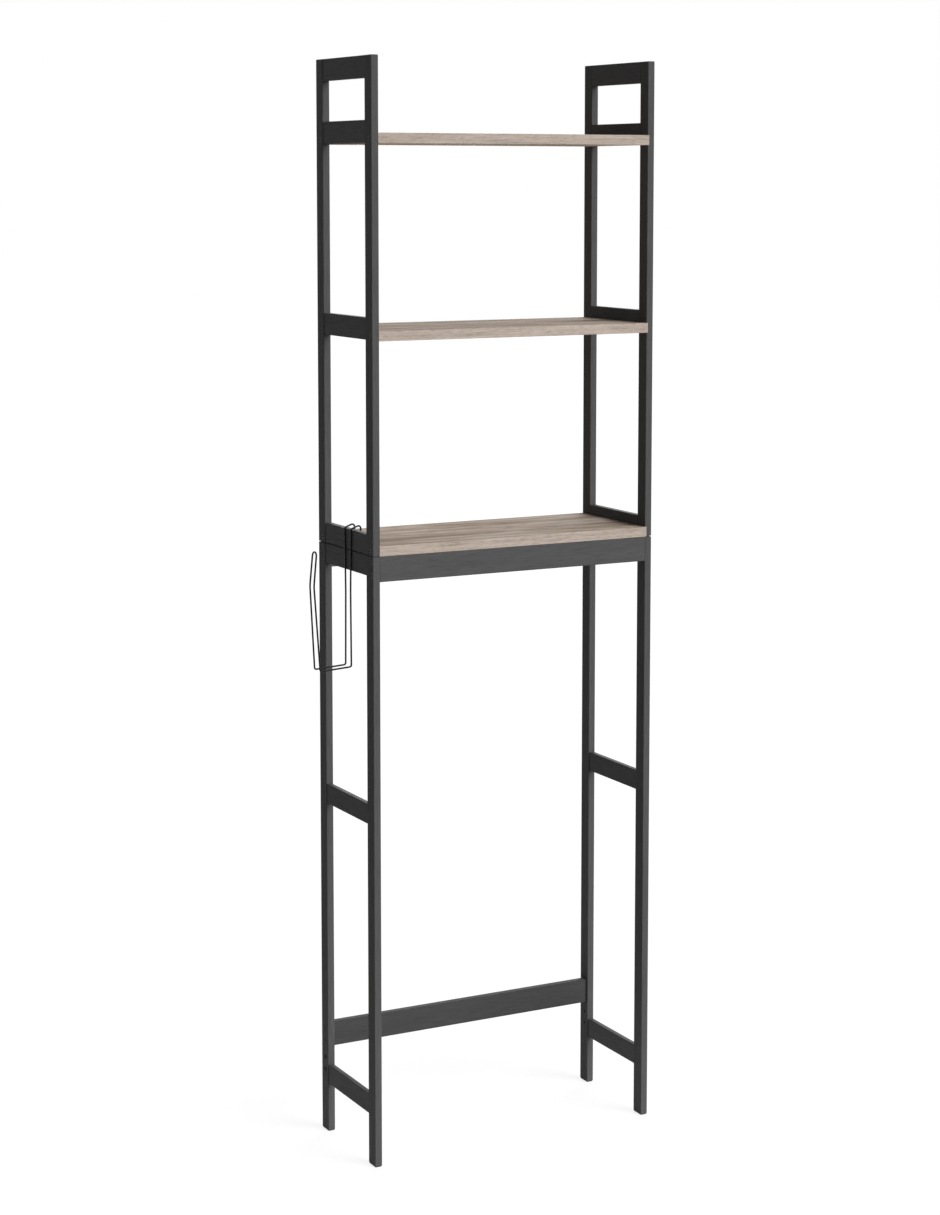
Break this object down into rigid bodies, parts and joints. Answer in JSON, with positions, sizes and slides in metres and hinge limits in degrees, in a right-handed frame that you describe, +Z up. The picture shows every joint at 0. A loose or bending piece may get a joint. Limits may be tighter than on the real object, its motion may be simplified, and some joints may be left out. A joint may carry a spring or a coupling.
{
  "type": "over the toilet storage rack",
  "caption": "Tall open rack that stands over a toilet: ladder side frames in dark paint, wood-look shelves, a rear crossbar and a hook-on wire roll holder.",
  "frame": {"origin": "on the floor, at the middle of the box around the whole rack with its roll holder", "axes": "+Z up, +X to the right of someone facing the rack, -Y towards them"},
  "size_m": [0.564, 0.202, 1.73],
  "materials": {
    "frame_paint": "satin charcoal paint with the grain faintly showing",
    "shelf_board": "matt greige oak look, grain along the board",
    "screw_black": "black",
    "foot_plastic": "moulded",
    "holder_wire": "satin black powder coat"
  },
  "bodies": {
    "rack": {"left_upper_front_stile": "frame_paint", "left_upper_rear_stile": "frame_paint", "left_lower_front_stile": "frame_paint", "left_lower_rear_stile": "frame_paint", "left_top_rail": "frame_paint", "left_top_shelf_rail": "frame_paint", "left_middle_shelf_rail": "frame_paint", "left_base_rail": "frame_paint", "left_head_rail": "frame_paint", "left_middle_rail": "frame_paint", "left_low_rail": "frame_paint", "right_upper_front_stile": "frame_paint", "right_upper_rear_stile": "frame_paint", "right_lower_front_stile": "frame_paint", "right_lower_rear_stile": "frame_paint", "right_top_rail": "frame_paint", "right_top_shelf_rail": "frame_paint", "right_middle_shelf_rail": "frame_paint", "right_base_rail": "frame_paint", "right_head_rail": "frame_paint", "right_middle_rail": "frame_paint", "right_low_rail": "frame_paint", "rear_crossbar": "frame_paint", "front_apron": "frame_paint", "rear_apron": "frame_paint", "top_shelf": "shelf_board", "middle_shelf": "shelf_board", "bottom_shelf": "shelf_board", "shelf_screws": "screw_black", "apron_screws": "screw_black", "crossbar_screws": "screw_black", "frame_connector_screws": "screw_black", "left_front_foot": "foot_plastic", "left_rear_foot": "foot_plastic", "right_front_foot": "foot_plastic", "right_rear_foot": "foot_plastic"},
    "holder": {"roll_holder": "holder_wire"}
  },
  "joints": [
    {"name": "holder_slide", "type": "slide", "parent": "rack", "child": "holder", "axis": [0, 1, 0], "range_m": [-0.051, 0.074]}
  ]
}
